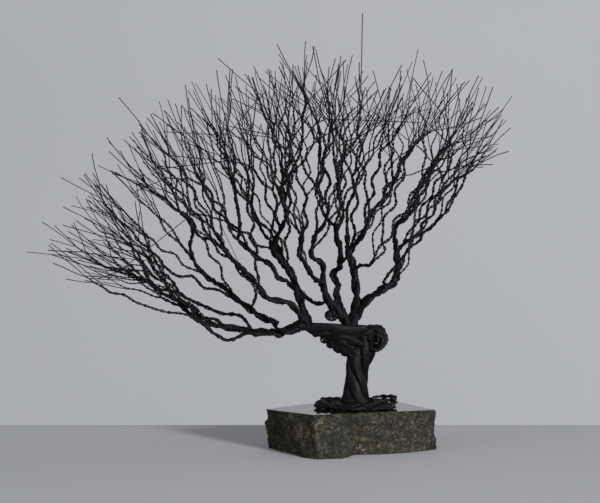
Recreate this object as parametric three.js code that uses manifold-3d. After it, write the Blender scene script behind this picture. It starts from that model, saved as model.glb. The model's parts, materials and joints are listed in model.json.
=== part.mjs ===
// Wire tree sculpture: a windswept tree twisted from black annealed wire on a split granite block.
// Millimetres, +Z up. The origin is on the block's flat underside, straight below the trunk's foot.
// +X runs to the right along the crown's long side and +Y runs to the back.
import * as THREE from 'three';
import { mergeVertices } from 'three/addons/utils/BufferGeometryUtils.js';
import Module from 'manifold-3d';

// ---- driving dimensions -------------------------------------------------------------------
const GAP = 0.3;                    // clearance between neighbouring solids
const WIRE = 0.55;                  // one wire's diameter
const WIRE_COUNT = 520;             // wires in the whole tree, each with its own tip
const BLOCK_HEIGHT = 30;            // the granite block
const SEED = 20117;

// The crown is a fan round this point, between two bearings in degrees above +X.
const CROWN_CENTRE = [-8, 0, 85];
const FAN_FROM = 49;
const FAN_TO = 169.5;
const CROWN_DEPTH = 46;             // half the fan's thickness, front to back
const CROWN_REACH = 201;            // from the fan's centre to the tips, before its swells and dips
const TIP_SCATTER = 0.2;            // share of the reach over which the tips are scattered

// How the bundles are laid.
const PATH_STEP = 3;                // spacing of the samples along a limb
const LEAVING_CARE = 4;             // how strongly a wire prefers a gentle turn off its limb
const RISING_CARE = 7;              // how strongly it prefers to run straight away from this point:
const RISING_FROM = [-8, 0, 60];
const CROWDING = 0.03;              // how strongly it avoids a limb that is already full
const KINK_PITCH = 11;              // spacing of the kinks in a bundle
const KINK_LEAN = 0.17;             // their sideways lean, as a share of that spacing
const LEAST_BUNDLE = 10;            // a bundle of fewer wires is one tapering twig here
const LIMB_STRIDE = 4;              // path samples between two rings of a limb's solid

// ---- the block: corners of its polished top, from the left corner round by the front, and the
// corners of its underside that lie below them --------------------------------------------------
const BLOCK_TOP = [[-64, -12], [-42, -28], [-31, -36], [-12, -31], [-2, -29], [30, -21], [54, -15],
  [30, 19], [-34, 11]];
const BLOCK_FOOT = [[-62, 3], [-40, -33], [-27, -42], [-10, -37], [-3, -27], [30, -20], [56, -4],
  [32, 20], [-35, 12]];
const BLOCK_RINGS = [0, 7, 14, 21, 27.5, BLOCK_HEIGHT];
const BLOCK_MIDDLE = [-6, -8];
const FACET = 11;                   // spacing of the split facets round its sides
const ROUGHNESS = 1.2;              // how far they stand in or out

// ---- the trunk and what it turns into: centre line and radius at each station --------------
const TRUNK = [[-1, 0, 30.3, 12.5], [-1, 0, 33, 11], [-1, 0, 38, 9.4], [0, 0, 46, 8.2], [0, 0, 55, 7.9],
  [2, 0, 63, 8.8], [5, 0, 70, 8.6]];
const SHOULDER = [[13, 0, 77, 7], [6, 0, 77.5, 9.6], [-5, 0, 77.5, 10], [-14, -1, 79, 9.3],
  [-22, -2, 81.5, 7.6], [-29, -2, 84.5, 5.6], [-38, -3, 87, 4]];
const SHOULDER_LUMPS = [[-10, -1, 69.5, 3.6], [-17, -1, 71.5, 3.4], [-23, -2, 75.5, 3]];
const KNOT = { at: [12, 0, 78.3], radius: 7.1, strand: 3.1, turns: 3, spread: 4.2 };
const STEM_RIGHT = [[-4, 0, 83, 4.6], [-3, 0, 90, 4.6], [-1, 0, 98, 4.4]];
const STEM_LEFT = [[-4, 0, 86, 4], [-9, -1, 93, 4], [-15, -2, 100, 3.4]];
const KNOB = [-18.5, -2, 94, 3.9];
// Each root loop: centre x and y, half length, half width, bearing and the rise of its far end.
const ROOT_LOOPS = [[-15, -3, 14, 11, 15, 0], [-12, 11, 14, 9, -25, 1.5], [9, -11, 17, 10, -12, 0],
  [15, 9, 13, 11, 20, 3], [-3, -15, 15, 8, 5, 0]];
const ROOT_STRAND = 1.3;            // radius of the twisted strand of a root loop

// ---- the limbs ----------------------------------------------------------------------------
// Each limb: the limb it leaves, the first station that carries twigs, and its stations.
const LIMBS = {
  low_limb: ['', 9, [[-31, -2, 86], [-39, -3, 88], [-50, -4, 84], [-61, -4, 83], [-72, -4, 83],
    [-77, -4, 83]]],
  low_front: ['low_limb', 3, [[-77, -4, 83], [-90, -8, 78], [-101, -10, 84], [-110, -12, 92], [-120, -14, 97],
    [-134, -16, 99], [-149, -17, 104]]],
  low_back: ['low_limb', 3, [[-72, -4, 83], [-82, 2, 94], [-95, 7, 95], [-108, 9, 100], [-124, 10, 105],
    [-141, 12, 107], [-156, 14, 109]]],
  low_mid: ['low_limb', 3, [[-75, -4, 83], [-83, -3, 86], [-92, -4, 87], [-103, -5, 89], [-111, -6, 92],
    [-119, -5, 98], [-127, -5, 107], [-138, -5, 111], [-145, -6, 118], [-149, -8, 127]]],
  left_sweep: ['low_mid', 1, [[-149, -8, 127], [-157, -12, 127], [-166, -16, 129], [-175, -18, 127]]],
  left_rise: ['low_mid', 1, [[-136, -5, 110], [-142, 2, 115], [-157, 8, 120], [-163, 10, 127],
    [-169, 12, 134]]],
  left_upright: ['low_mid', 2, [[-127, -5, 107], [-133, 0, 117], [-140, 4, 130], [-147, 6, 142],
    [-157, 8, 152],
    [-159, 8, 162], [-158, 8, 180]]],
  thin_limb: ['low_limb', 4, [[-55, -4, 84], [-58, 2, 90], [-66, 7, 92], [-77, 11, 99], [-84, 13, 104],
    [-93, 16, 112], [-102, 18, 117], [-112, 20, 126], [-117, 20, 133]]],
  thin_fork: ['thin_limb', 3, [[-76, 11, 98], [-71, 14, 107], [-74, 18, 116], [-80, 21, 122],
    [-82, 24, 126]]],
  heart_limb: ['', 5, [[-35, -3, 88], [-42, -6, 98], [-47, -9, 104], [-55, -11, 106], [-64, -12, 109],
    [-69, -13, 117], [-74, -14, 123], [-81, -16, 130], [-89, -18, 138], [-92, -18, 144]]],
  left_limb: ['', 4, [[-34, -2, 87], [-38, 2, 101], [-41, 5, 109], [-45, 6, 121], [-52, 6, 131],
    [-59, 5, 140], [-59, 5, 146], [-56, 5, 150]]],
  link_limb: ['left_limb', 5, [[-43, 5, 112], [-50, -1, 119], [-55, -3, 121], [-60, -2, 130], [-69, 0, 135],
    [-75, 2, 140], [-81, 3, 145], [-85, 3, 149]]],
  centre_limb: ['', 5, [[-14, -2, 98], [-20, -6, 105], [-24, -8, 117], [-24, -10, 131], [-31, -12, 136],
    [-32, -13, 141], [-29, -14, 154]]],
  centre_fork: ['centre_limb', 2, [[-24, -8, 117], [-31, -14, 123], [-36, -18, 132], [-41, -20, 141],
    [-38, -22, 152], [-47, -24, 163], [-53, -24, 178]]],
  cross_limb: ['centre_limb', 2, [[-20, -6, 104], [-29, 2, 103], [-37, 10, 108], [-44, 15, 116],
    [-48, 20, 127],
    [-54, 23, 137]]],
  back_limb: ['', 4, [[-9, -1, 94], [-14, 7, 108], [-13, 10, 115], [-17, 13, 122], [-12, 15, 127],
    [-11, 17, 137],
    [-14, 18, 148], [-14, 19, 155]]],
  main_limb: ['', 4, [[-2, 0, 94], [0, 0, 104], [-1, 0, 115], [-3, 0, 131], [-6, 1, 138], [-7, 1, 155]]],
  right_bend: ['main_limb', 2, [[-2, 0, 125], [2, -3, 130], [9, -7, 131], [13, -9, 139], [18, -11, 147],
    [14, -13, 155]]],
  right_hook: ['right_bend', 2, [[10, -7, 132], [16, 3, 136], [20, 8, 140], [18, 12, 147], [27, 15, 150]]],
  leader: ['main_limb', 2, [[-6, 1, 140], [0, -5, 147], [5, -9, 155], [8, -11, 169], [4, -12, 190],
    [2, -12, 203],
    [-1, -12, 216], [0, -12, 230]]],
  right_limb: ['', 5, [[-1, 0, 93], [3, -3, 100], [7, -5, 106], [14, -6, 111], [20, -6, 115], [25, -2, 116],
    [28, 2, 124], [29, 4, 132], [28, 5, 139], [35, 7, 146], [43, 8, 150]]],
  right_front: ['right_limb', 1, [[19, -6, 115], [18, -12, 119], [22, -16, 126], [27, -19, 132],
    [34, -22, 142],
    [37, -24, 155]]],
  right_outer: ['right_limb', 2, [[43, 8, 150], [52, 6, 156], [58, 4, 163], [64, 2, 169], [68, 1, 181],
    [69, 0, 194],
    [69, 0, 207], [67, 0, 220]]],
  right_mid: ['right_limb', 2, [[28, 4, 140], [26, -1, 150], [27, -5, 158], [36, -8, 166], [37, -9, 176],
    [38, -10, 198], [38, -10, 210]]],
  right_twist: ['right_mid', 1, [[36, -8, 164], [41, 0, 171], [46, 5, 185], [55, 9, 191], [59, 11, 203]]],
  right_inner: ['leader', 2, [[8, -11, 167], [14, -4, 172], [20, 3, 178], [25, 8, 185], [24, 12, 202],
    [31, 13, 218],
    [34, 14, 232]]],
  back_rise: ['back_limb', 1, [[-14, 19, 152], [-9, 26, 164], [-12, 30, 178], [-7, 33, 192], [-9, 34, 208]]],
  centre_rise: ['centre_limb', 1, [[-29, -14, 152], [-22, -16, 163], [-25, -20, 178], [-26, -22, 193],
    [-24, -23, 209], [-22, -24, 226]]],
  centre_left: ['back_limb', 1, [[-14, 19, 154], [-22, 18, 163], [-29, 17, 177], [-39, 15, 186],
    [-49, 13, 192],
    [-57, 12, 201]]],
  upper_left: ['left_limb', 1, [[-57, 5, 149], [-52, 0, 158], [-49, -4, 168], [-53, -6, 182], [-47, -8, 194],
    [-40, -8, 208], [-38, -8, 222]]],
  link_rise: ['link_limb', 1, [[-83, 3, 147], [-82, 5, 158], [-85, 8, 176], [-88, 9, 192], [-93, 10, 208]]],
  heart_rise: ['heart_limb', 1, [[-91, -18, 142], [-99, -20, 148], [-105, -20, 155], [-112, -20, 166],
    [-119, -20, 183], [-128, -20, 192]]],
  inner_rise: ['left_limb', 1, [[-58, 5, 145], [-66, 12, 152], [-71, 17, 166], [-77, 20, 182],
    [-81, 22, 197]]],
  thin_rise: ['thin_limb', 1, [[-115, 20, 130], [-118, 18, 142], [-116, 16, 154], [-125, 15, 167],
    [-137, 14, 174],
    [-146, 13, 183]]],
  fork_rise: ['thin_fork', 1, [[-81, 23, 125], [-92, 28, 136], [-99, 31, 150], [-101, 33, 166],
    [-108, 34, 180]]],
};

// Tips of the wires that stand out of the crown, the tall leader first.
const LONG_WIRES = [[3, -10, 305], [-228, -22, 141], [-219, -10, 161], [-208, 10, 191], [-167, 10, 247],
  [-202, -18, 122], [-191, 8, 136], [43, 14, 281], [108, 4, 248], [-36, -8, 286], [-97, 8, 274],
    [104, -14, 210],
  [-31, 16, 283], [-56, 10, 284], [88, 10, 261]];

// ---- small helpers ------------------------------------------------------------------------
const BACK = new THREE.Vector3(0, 1, 0);
const SLANT = new THREE.Vector3(0.31, 1, 0.17);     // lies along no limb, so every section starts from it
const vector = ([x, y, z]) => new THREE.Vector3(x, y, z);
const mix = (a, b, k) => a.clone().addScaledVector(b, k);
const way = (from, to) => to.clone().sub(from);
const direction = (from, to) => way(from, to).normalize();
const smooth = (t) => THREE.MathUtils.smoothstep(t, 0, 1);
const bump = (t) => Math.exp(-t * t);
const bundleWidth = (wires) => Math.min(WIRE * wires, 1.35 * wires ** 0.36);

const dice = {
  state: SEED,
  roll() {
    this.state = (this.state * 16807) % 2147483647;
    return this.state / 2147483647;
  },
  swing(size) {
    return (2 * this.roll() - 1) * size;
  },
};

// A number from -1 to 1 that always comes out the same for one place.
function chance(x, y) {
  const scrambled = Math.sin(x * 12.99 + y * 78.23) * 43758.5;
  return 2 * (scrambled - Math.floor(scrambled)) - 1;
}

function mean(points) {
  const sum = new THREE.Vector3();
  points.forEach((point) => sum.add(point));
  return sum.divideScalar(points.length);
}

function nearestSample(path, point) {
  let best = 0;
  path.forEach((sample, i) => {
    if (sample.distanceTo(point) < path[best].distanceTo(point)) best = i;
  });
  return best;
}

// A smooth path through the stations with a sample about every step.
function samplePath(stations, step) {
  const path = [];
  for (let i = 0; i + 1 < stations.length; i += 1) {
    const before = stations[Math.max(i - 1, 0)];
    const after = stations[Math.min(i + 2, stations.length - 1)];
    const [from, to] = [stations[i], stations[i + 1]];
    const parts = Math.max(1, Math.floor(from.distanceTo(to) / step + 0.5));
    for (let k = 0; k < parts; k += 1) {
      const t = k / parts;
      path.push(new THREE.Vector3()
        .addScaledVector(before, 0.5 * (-t + 2 * t ** 2 - t ** 3))
        .addScaledVector(from, 0.5 * (2 - 5 * t ** 2 + 3 * t ** 3))
        .addScaledVector(to, 0.5 * (t + 4 * t ** 2 - 3 * t ** 3))
        .addScaledVector(after, 0.5 * (-(t ** 2) + t ** 3)));
    }
  }
  path.push(stations[stations.length - 1].clone());
  return path;
}

// ---- the crown's tips ---------------------------------------------------------------------
// How far the tips reach from the fan's centre at a bearing: longest low on the left, with a
// dip right of the top, and drawn in at both ends of the fan.
function crownReach(bearing) {
  return CROWN_REACH + 21 * smooth((bearing - 108) / 46) - 18 * bump((bearing - 82) / 6)
    - 28 * bump((bearing - 47) / 5) - 24 * bump((bearing - 172) / 5);
}

function crownTips() {
  const tips = [];
  const count = WIRE_COUNT - LONG_WIRES.length;
  for (let i = 0; i < count; i += 1) {
    const share = (i + dice.roll()) / count;
    const spaced = share + 0.02 * Math.sin(2 * Math.PI * share);
    const bearing = FAN_FROM + (FAN_TO - FAN_FROM) * spaced;
    const depth = dice.swing(1);
    const far = crownReach(bearing) * (1 - TIP_SCATTER * dice.roll()) * (1 - 0.07 * depth * depth);
    const width = CROWN_DEPTH * (0.55 + 0.45 * Math.sin(Math.PI * share));
    const angle = THREE.MathUtils.degToRad(bearing);
    tips.push(new THREE.Vector3(CROWN_CENTRE[0] + far * Math.cos(angle), depth * width,
      CROWN_CENTRE[2] + far * Math.sin(angle)));
  }
  return tips.concat(LONG_WIRES.map(vector));
}

// ---- limbs and the wires dealt to them ----------------------------------------------------
function makeLimb(name) {
  const [parent, carries, stations] = LIMBS[name];
  const points = stations.map(vector);
  const path = samplePath(points, PATH_STEP);
  const first = nearestSample(path, points[Math.min(carries, points.length - 1)]);
  return { name, parent, path, first, takes: [], children: [], groups: [], sprays: [], load: null };
}

function heading(limb, i) {
  return direction(limb.path[Math.max(i - 1, 0)], limb.path[Math.min(i + 1, limb.path.length - 1)]);
}

// Every wire goes to the limb sample that it can leave shortly and with a gentle turn.
function dealWires(limbs, tips) {
  tips.forEach((tip, k) => {
    const roll = dice.roll();
    const room = k < tips.length - LONG_WIRES.length ? 44 + 80 * roll : 40;
    const rise = direction(vector(RISING_FROM), tip);
    let best = null;
    limbs.forEach((limb) => {
      for (let i = limb.first; i < limb.path.length; i += 1) {
        const line = way(limb.path[i], tip);
        const length = line.length();
        if (length >= room) {
          const turn = length - line.dot(heading(limb, i));
          const stray = length - line.dot(rise);
          const detour = length + LEAVING_CARE * turn + RISING_CARE * stray;
          const cost = detour * (1 + CROWDING * limb.takes.length);
          if (!best || cost < best.cost) best = { cost, limb, i };
        }
      }
    });
    best.limb.takes.push({ tip, at: best.i });
  });
}

// Which side of the limb a tip lies on: 0 right, 1 left, 2 back, 3 front.
function sideOf(limb, i, tip) {
  const right = heading(limb, i).cross(BACK).normalize();
  const line = way(limb.path[i], tip);
  const across = line.dot(right);
  if (Math.abs(line.y) > 1.2 * Math.abs(across)) return line.y > 0 ? 2 : 3;
  return across > 0 ? 0 : 1;
}

// Wires that leave on one side within a short stretch go together. A pair or a single wire
// goes along with the nearest bundle.
function groupWires(limb, apart = 6, most = 9, least = 3) {
  const last = limb.path.length - 1;
  const marks = limb.takes.map(({ tip, at }) => ({ tip, at, side: sideOf(limb, at, tip) }));
  marks.sort((a, b) => a.at - b.at || a.side - b.side);
  const open = {};
  const groups = [];
  marks.forEach(({ tip, at, side }) => {
    const atEnd = at >= last - 1;
    const key = atEnd ? 4 : side;
    const spot = atEnd ? last : at;
    const full = open[key] && !atEnd && open[key].tips.length >= most;
    if (!open[key] || spot - open[key].at > apart || full) {
      open[key] = { at: spot, tips: [] };
      groups.push(open[key]);
    }
    open[key].tips.push(tip);
  });
  const bundles = groups.filter((group) => group.tips.length >= least);
  groups.filter((group) => group.tips.length < least).forEach((group) => {
    if (bundles.length) {
      const apartness = (bundle) => Math.abs(bundle.at - group.at);
      const nearest = bundles.reduce((a, b) => (apartness(b) < apartness(a) ? b : a));
      nearest.tips.push(...group.tips);
    } else {
      bundles.push(group);
    }
  });
  limb.groups = bundles;
  const top = Math.max(0, ...bundles.map((bundle) => bundle.at), ...limb.children.map((child) => child.at));
  limb.path = limb.path.slice(0, top + 1);
}

// ---- how a bundle parts into its wires ----------------------------------------------------
// The direction across a fan in which its tips lie widest apart.
function widestAxis(start, tips) {
  const ahead = direction(start, mean(tips));
  const flat = ahead.clone().cross(BACK).normalize();
  const over = ahead.clone().cross(flat);
  let best = null;
  for (let k = 0; k < 6; k += 1) {
    const angle = (Math.PI * k) / 6;
    const axis = flat.clone().multiplyScalar(Math.cos(angle)).addScaledVector(over, Math.sin(angle));
    const values = tips.map((tip) => direction(start, tip).dot(axis));
    const width = Math.max(...values) - Math.min(...values);
    if (!best || width > best.width) best = { width, axis };
  }
  return best.axis;
}

// A knobby way from start to goal that leaves along the given heading.
function kinkedWay(start, ahead, goal) {
  const points = [start];
  let from = start;
  let length = from.distanceTo(goal);
  if (length > 9) {
    const out = mix(ahead, direction(start, goal), 0.9).normalize();
    from = mix(start, out, Math.min(6, length * 0.35));
    points.push(from);
    length = from.distanceTo(goal);
  }
  const line = way(from, goal);
  const count = Math.floor(length / KINK_PITCH);
  const flat = direction(from, goal).cross(BACK).normalize();
  const stretch = KINK_LEAN * (length / (count + 1));
  let sign = dice.roll() > 0.5 ? 1 : -1;
  for (let k = 1; k <= count; k += 1) {
    const point = mix(from, line, k / (count + 1));
    point.addScaledVector(flat, sign * stretch * (0.5 + dice.roll()));
    point.addScaledVector(BACK, dice.swing(stretch));
    points.push(point);
    sign = -sign;
  }
  points.push(goal);
  return points;
}

function growWire(start, ahead, tip) {
  const length = start.distanceTo(tip);
  const out = mix(direction(start, tip), ahead, 0.5).normalize();
  const near = mix(start, out, Math.min(7, length * 0.25));
  const middle = mix(near, way(near, tip), 0.5);
  middle.x += dice.swing(0.8);
  middle.y += dice.swing(0.8);
  middle.z += dice.swing(0.5);
  return { wires: 1, points: [start, near, middle, tip], children: [] };
}

// A bundle runs towards the middle of its tips, then parts into two, and so on to single wires.
function growBundle(start, ahead, tips) {
  if (tips.length === 1) return growWire(start, ahead, tips[0]);
  const line = way(start, mean(tips));
  const nearest = Math.min(...tips.map((tip) => tip.distanceTo(start)));
  const leftOver = 25 * (tips.length / 2) ** 0.62 * (0.8 + 0.4 * dice.roll());
  const least = 3.5 + 3 * dice.roll();
  const length = Math.max(Math.min(line.length() - leftOver, nearest - 20), least);
  const goal = mix(start, mix(line.normalize(), ahead, 0.35).normalize(), length);
  goal.x += dice.swing(0.1 * length);
  goal.y += dice.swing(0.1 * length);
  goal.z += dice.swing(0.06 * length);
  const points = kinkedWay(start, ahead, goal);
  const axis = widestAxis(goal, tips);
  const place = (tip) => direction(goal, tip).dot(axis);
  const order = tips.slice().sort((a, b) => place(a) - place(b));
  const wanted = Math.floor(tips.length * (0.33 + 0.34 * dice.roll()) + 0.5);
  const cut = Math.max(1, Math.min(tips.length - 1, wanted));
  const arrival = direction(points[points.length - 2], goal);
  const children = [order.slice(0, cut), order.slice(cut)].map((half, k) => {
    const turn = 0.3 + 0.25 * dice.roll();
    const leave = mix(direction(goal, mean(half)), arrival, 0.4).addScaledVector(axis, k ? turn : -turn);
    return growBundle(goal, leave.normalize(), half);
  });
  return { wires: tips.length, points, children };
}

function growSprays(limb) {
  limb.sprays = limb.groups.map(({ at, tips }) => {
    const ahead = heading(limb, at);
    const start = limb.path[at];
    if (at === limb.path.length - 1) return growBundle(start, ahead, tips);
    const out = direction(start, mean(tips));
    const aside = out.addScaledVector(ahead, -out.dot(ahead)).normalize();
    return growBundle(start, mix(ahead, aside, 0.85).normalize(), tips);
  });
}

// How many wires run in the limb at each of its samples.
function countWires(limb) {
  if (limb.load) return;
  limb.children.forEach(({ limb: child }) => countWires(child));
  limb.load = limb.path.map((_, k) => {
    const sprays = limb.groups.filter(({ at }) => at >= k).reduce((sum, { tips }) => sum + tips.length, 0);
    const above = limb.children.filter(({ at }) => at >= k);
    return above.reduce((sum, { limb: child }) => sum + child.load[0], sprays);
  });
}

function growCrown() {
  const tips = crownTips();
  const limbs = Object.keys(LIMBS).map(makeLimb);
  dealWires(limbs, tips);
  limbs.forEach((limb) => {
    const parent = limbs.find(({ name }) => name === limb.parent);
    if (parent) parent.children.push({ limb, at: nearestSample(parent.path, limb.path[0]) });
  });
  limbs.forEach((limb) => groupWires(limb));
  limbs.forEach(growSprays);
  limbs.forEach(countWires);
  return limbs;
}

// ---- solids -------------------------------------------------------------------------------
const wasm = await Module();
wasm.setup();

function solid(geometry) {
  geometry.deleteAttribute('normal');
  geometry.deleteAttribute('uv');
  const merged = mergeVertices(geometry);
  const vertProperties = merged.getAttribute('position').array;
  const triVerts = new Uint32Array(merged.getIndex().array);
  return new wasm.Manifold(new wasm.Mesh({ numProp: 3, vertProperties, triVerts }));
}

const join = (solids) => solids.reduce((all, next) => all.add(next));

function polygon(sides, radiusAt = () => 1) {
  const corners = [];
  for (let i = 0; i < sides; i += 1) {
    const angle = (2 * Math.PI * i) / sides;
    corners.push(new THREE.Vector2(Math.cos(angle), Math.sin(angle)).multiplyScalar(radiusAt(angle)));
  }
  return new THREE.Shape(corners);
}

// A closed bundle: the section is carried along the points with a radius at each of them, and
// turned by so many radians from one point to the next.
function bundle(points, radii, section, twist = 0) {
  const rings = points.length - 1;
  const geometry = new THREE.ExtrudeGeometry(section, { depth: 1, steps: rings, bevelEnabled: false });
  const across = [];
  const over = [];
  points.forEach((point, k) => {
    const tangent = direction(points[Math.max(k - 1, 0)], points[Math.min(k + 1, rings)]);
    const last = k ? across[k - 1] : SLANT;
    across.push(last.clone().addScaledVector(tangent, -last.dot(tangent)).normalize());
    over.push(tangent.cross(across[k]));
  });
  const corner = geometry.getAttribute('position');
  for (let i = 0; i < corner.count; i += 1) {
    const k = Math.round(corner.getZ(i) * rings);
    const [cos, sin] = [Math.cos(twist * k), Math.sin(twist * k)];
    const u = (corner.getX(i) * cos - corner.getY(i) * sin) * radii[k];
    const v = (corner.getX(i) * sin + corner.getY(i) * cos) * radii[k];
    const spot = mix(points[k], across[k], u).addScaledVector(over[k], v);
    corner.setXYZ(i, spot.x, spot.y, spot.z);
  }
  return solid(geometry);
}

// Sections as wide as the round bundle that they stand for.
const TRIANGLE = polygon(3, () => 1.2);
const SQUARE = polygon(4, () => 1.12);
const PENTAGON = polygon(5, () => 1.07);
const STRANDED = polygon(20, (angle) => 0.9 + 0.14 * Math.abs(Math.cos(2.5 * angle)));

function sectionFor(radius) {
  if (radius < 1) return TRIANGLE;
  return radius < 1.6 ? SQUARE : PENTAGON;
}

// Runs a bundle on past its last point, so that what parts there starts inside it.
function runOn(points, length) {
  const end = points[points.length - 1];
  const ahead = direction(points[points.length - 2], end);
  return [...points.slice(0, -1), mix(end, ahead, length)];
}

function tipsOf(spray) {
  return spray.children.length ? spray.children.flatMap(tipsOf) : [spray.points[spray.points.length - 1]];
}

// The solids of a spray. More is added to every radius.
function spraySolids(spray, more) {
  const radius = bundleWidth(spray.wires) / 2;
  if (spray.wires < LEAST_BUNDLE) {
    const start = spray.points[0];
    const tip = tipsOf(spray).reduce((a, b) => (b.distanceTo(start) > a.distanceTo(start) ? b : a));
    return [bundle([start, tip], [radius + more, WIRE / 2 + more], TRIANGLE)];
  }
  const knees = spray.points.filter((_, k) => k === 0 || k === spray.points.length - 1 || k % 2);
  const points = runOn(knees, radius * 0.6);
  const radii = points.map(() => radius + more);
  const twigs = spray.children.flatMap((child) => spraySolids(child, more));
  return [bundle(points, radii, sectionFor(radius)), ...twigs];
}

function limbSolid(limb, more) {
  const last = limb.path.length - 1;
  const marks = [];
  for (let i = 0; i < last - 1; i += LIMB_STRIDE) marks.push(i);
  marks.push(last);
  const radii = marks.map((i) => bundleWidth(limb.load[i]) / 2 + more);
  const points = runOn(marks.map((i) => limb.path[i]), radii[radii.length - 1] * 0.6);
  const stem = bundle(points, radii, sectionFor(radii[0]));
  return join([stem, ...limb.sprays.flatMap((spray) => spraySolids(spray, more))]);
}

function stationSolid(stations, section, more, twist = 0) {
  return bundle(stations.map(vector), stations.map((station) => station[3] + more), section, twist);
}

function ball([x, y, z, radius], more) {
  const geometry = new THREE.SphereGeometry(radius + more, 8, 6);
  return solid(geometry.rotateX(Math.PI / 2).translate(x, y, z));
}

const trunk = (more) => stationSolid(TRUNK, STRANDED, more, -0.28);
const shoulder = (more) => join([stationSolid(SHOULDER, polygon(8), more),
  ...SHOULDER_LUMPS.map((lump) => ball(lump, more))]);
const crownStem = (more) => join([stationSolid(STEM_RIGHT, polygon(7), more),
  stationSolid(STEM_LEFT, polygon(7), more), ball(KNOB, more)]);

// The knot: turns of a thick strand side by side round a core of the same strand.
function knot(more) {
  const [x, y, z] = KNOT.at;
  const turns = [];
  for (let i = 0; i < KNOT.turns; i += 1) {
    const aside = (i - (KNOT.turns - 1) / 2) * KNOT.spread;
    const outer = KNOT.radius - 0.12 * aside * aside;
    const ring = new THREE.TorusGeometry(outer, KNOT.strand + more, 5, 11);
    ring.rotateX(Math.PI / 2 + 0.3).rotateZ(0.35).translate(x, y + aside, z);
    turns.push(solid(ring));
  }
  return join([...turns, ball([x, y, z, KNOT.radius + 0.6], more)]);
}

// The roots: closed loops of twisted strand lying on the block and over each other.
function rootLoop([x, y, long, wide, bearing, rise], more) {
  const turn = THREE.MathUtils.degToRad(bearing);
  const ring = new THREE.TorusGeometry(1, 0.1, 4, 12);
  const place = ring.getAttribute('position');
  for (let i = 0; i < place.count; i += 1) {
    const angle = Math.atan2(place.getY(i), place.getX(i));
    const out = (Math.hypot(place.getX(i), place.getY(i)) - 1) * 10 * (ROOT_STRAND + more);
    const along = (long + out) * Math.cos(angle);
    const aside = (wide + out) * Math.sin(angle);
    const lift = rise * (0.5 + 0.5 * Math.cos(angle)) + ROOT_STRAND + BLOCK_HEIGHT + GAP;
    place.setXYZ(i, x + along * Math.cos(turn) - aside * Math.sin(turn),
      y + along * Math.sin(turn) + aside * Math.cos(turn), lift + place.getZ(i) * 10 * (ROOT_STRAND + more));
  }
  return solid(ring);
}

const roots = (more) => join(ROOT_LOOPS.map((loop) => rootLoop(loop, more)));

// Points round a block outline. Both outlines get as many, so each top point has its foot point.
function blockOutline(corners) {
  const points = [];
  BLOCK_TOP.forEach(([x, y], i) => {
    const [nextX, nextY] = BLOCK_TOP[(i + 1) % BLOCK_TOP.length];
    const parts = Math.max(1, Math.floor(Math.hypot(nextX - x, nextY - y) / FACET + 0.5));
    const from = new THREE.Vector2(...corners[i]);
    const to = new THREE.Vector2(...corners[(i + 1) % corners.length]);
    for (let k = 0; k < parts; k += 1) points.push(from.clone().lerp(to, k / parts));
  });
  return points;
}

// The block: its sides run from the top outline down to the underside's, with split facets.
function block() {
  const tops = blockOutline(BLOCK_TOP);
  const feet = blockOutline(BLOCK_FOOT);
  const steps = BLOCK_RINGS.length - 1;
  const walls = { depth: 1, steps, bevelEnabled: false };
  const geometry = new THREE.ExtrudeGeometry(new THREE.Shape(tops), walls);
  const place = geometry.getAttribute('position');
  const middle = new THREE.Vector2(...BLOCK_MIDDLE);
  for (let i = 0; i < place.count; i += 1) {
    const ring = Math.round(place.getZ(i) * steps);
    const height = BLOCK_RINGS[ring];
    const top = new THREE.Vector2(place.getX(i), place.getY(i));
    const column = tops.findIndex((point) => point.distanceTo(top) < 0.01);
    const point = feet[column].clone().lerp(tops[column], height / BLOCK_HEIGHT);
    const out = point.clone().sub(middle).normalize();
    const rough = ring === steps ? 0 : ROUGHNESS * chance(top.x + 3 * ring, top.y - 5 * ring);
    point.addScaledVector(out, rough);
    place.setXYZ(i, point.x, point.y, height);
  }
  return solid(geometry);
}

// ---- meshes -------------------------------------------------------------------------------
const WIRE_BLACK = { color: 0x1c1d1f, roughness: 0.42, metalness: 0.85 };
const GRANITE = { color: 0x57544b, roughness: 0.8, metalness: 0 };

// Keeps the largest body of a solid that a cut has parted.
function mainBody(positions, triangles) {
  const owner = Array.from({ length: positions.length / 3 }, (_, i) => i);
  const root = (i) => {
    let k = i;
    while (owner[k] !== k) k = owner[k];
    return k;
  };
  for (let t = 0; t < triangles.length; t += 3) {
    const first = root(triangles[t]);
    owner[root(triangles[t + 1])] = first;
    owner[root(triangles[t + 2])] = first;
  }
  const bodies = new Map();
  for (let t = 0; t < triangles.length; t += 3) {
    const key = root(triangles[t]);
    if (!bodies.has(key)) bodies.set(key, []);
    bodies.get(key).push(triangles[t], triangles[t + 1], triangles[t + 2]);
  }
  return [...bodies.values()].reduce((a, b) => (b.length > a.length ? b : a));
}

function mesh(name, body, look) {
  const { vertProperties, triVerts } = body.getMesh();
  const geometry = new THREE.BufferGeometry();
  geometry.setAttribute('position', new THREE.Float32BufferAttribute(vertProperties, 3));
  geometry.setIndex(mainBody(vertProperties, triVerts));
  const part = new THREE.Mesh(geometry, new THREE.MeshStandardMaterial(look));
  part.name = name;
  return part;
}

// Each solid is made twice, once a gap fatter, and the fat one is cut out of its later neighbours.
const tree = new THREE.Group();
tree.add(mesh('granite_block', block(), GRANITE));

const makers = [['trunk', trunk], ['shoulder', shoulder], ['knot_coil', knot], ['crown_stem', crownStem],
  ['root_loops', roots]];
growCrown().forEach((limb) => makers.push([limb.name, (more) => limbSolid(limb, more)]));
let kept = null;
makers.forEach(([name, make]) => {
  const body = kept ? make(0).subtract(kept) : make(0);
  tree.add(mesh(name, body, WIRE_BLACK));
  kept = kept ? kept.add(make(GAP)) : make(GAP);
});

export default tree;
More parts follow.
